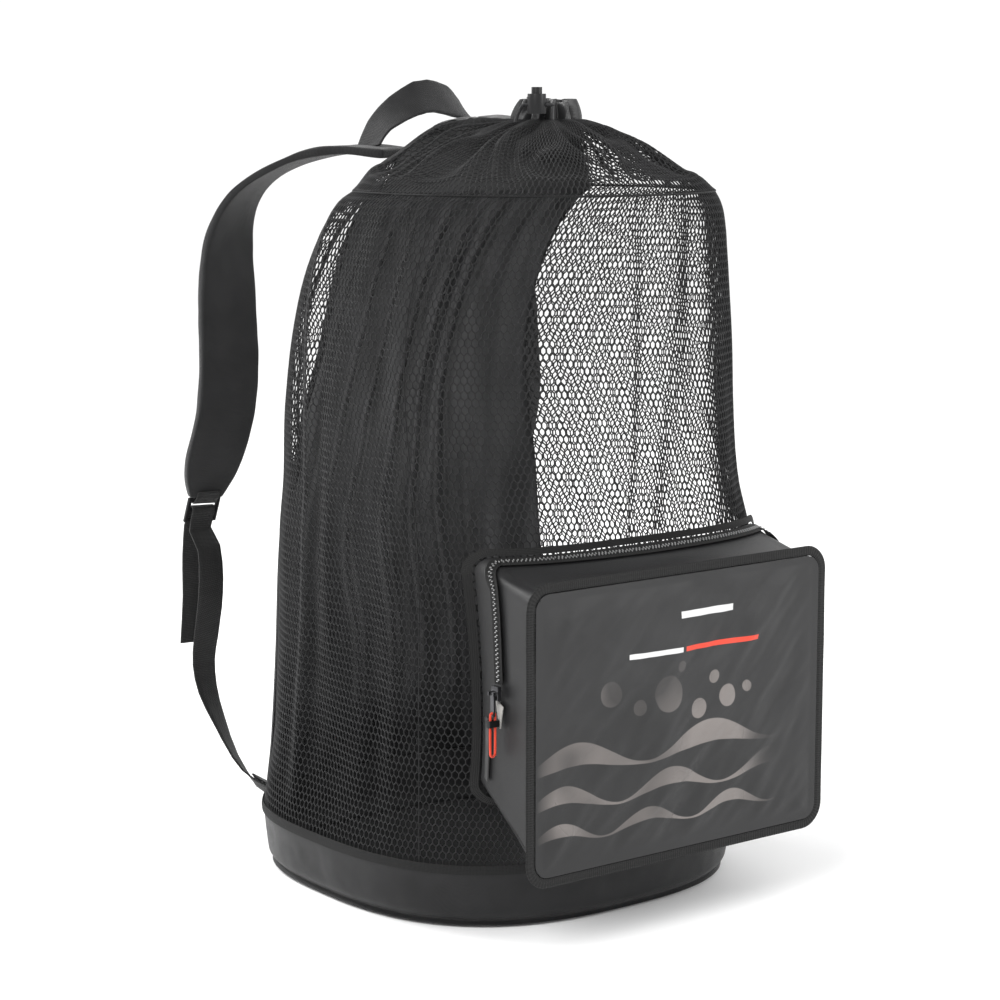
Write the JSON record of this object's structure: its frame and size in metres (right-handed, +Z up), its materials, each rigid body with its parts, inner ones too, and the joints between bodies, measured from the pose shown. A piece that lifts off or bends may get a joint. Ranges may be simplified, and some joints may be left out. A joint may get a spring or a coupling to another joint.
{
  "type": "mesh_dive_gear_bag",
  "caption": "Tall drawstring net sack with a nylon tub bottom, two padded shoulder straps, a grab handle and a zipped box pocket on the front",
  "frame": {"origin": "middle of the flat bottom", "axes": "+Z up, pocket faces -Y, straps at +Y, +X the wearer's right"},
  "size_m": [0.4258, 0.5284, 0.7416],
  "materials": {
    "polyester_net": "open knitted polyester net, hexagonal cells, matte black",
    "nylon_oxford": "black nylon oxford, a little sheen",
    "coated_nylon": "black coated nylon, satin, fine weave",
    "padded_strap_cloth": "black polyester over foam, matte",
    "polypropylene_webbing": "ribbed black webbing",
    "binding_tape": "ribbed black tape, matte",
    "acetal_plastic": "moulded black, semi-gloss",
    "zip_teeth_silver": "silver coil",
    "puller_gunmetal": "dark nickel plate",
    "red_cord": "braided orange-red cord",
    "grey_satin_nylon": "light grey satin"
  },
  "bodies": {
    "bag": {"base_tub": "nylon_oxford", "base_seam_tape": "binding_tape", "mesh_wall": "polyester_net", "back_panel": "nylon_oxford", "mesh_crown": "polyester_net", "crown_cap": "nylon_oxford", "mouth_hem": "nylon_oxford", "drawcord": "nylon_oxford", "cord_lock_barrel": "acetal_plastic", "shoulder_strap_left": "padded_strap_cloth", "shoulder_strap_right": "padded_strap_cloth", "ladder_lock_left": "acetal_plastic", "ladder_lock_right": "acetal_plastic", "lock_loop_left": "polypropylene_webbing", "lock_loop_right": "polypropylene_webbing", "webbing_left": "polypropylene_webbing", "webbing_right": "polypropylene_webbing", "strap_anchor_left": "nylon_oxford", "strap_anchor_right": "nylon_oxford", "grab_handle": "padded_strap_cloth", "pocket_front": "coated_nylon", "pocket_gusset": "coated_nylon", "pocket_front_binding": "binding_tape", "pocket_back_binding": "binding_tape", "pocket_side_strip": "polypropylene_webbing", "zip_tape": "binding_tape", "zip_teeth": "zip_teeth_silver", "zip_slider": "puller_gunmetal", "zip_end_tab": "grey_satin_nylon"},
    "puller": {"zip_puller": "puller_gunmetal", "puller_cord": "red_cord", "cord_crimp": "acetal_plastic"},
    "lock_button": {"cord_lock_plunger": "acetal_plastic"}
  },
  "joints": [
    {"name": "zip_puller_hinge", "type": "hinge", "parent": "bag", "child": "puller", "pos_m": [-0.1709, -0.2182, 0.2255], "axis": [0, 1, 0], "range_deg": [0, 150]},
    {"name": "cord_lock_press", "type": "slide", "parent": "bag", "child": "lock_button", "axis": [0, 0, -1], "range_m": [0, 0.003], "stiffness_N_per_m": 150}
  ]
}
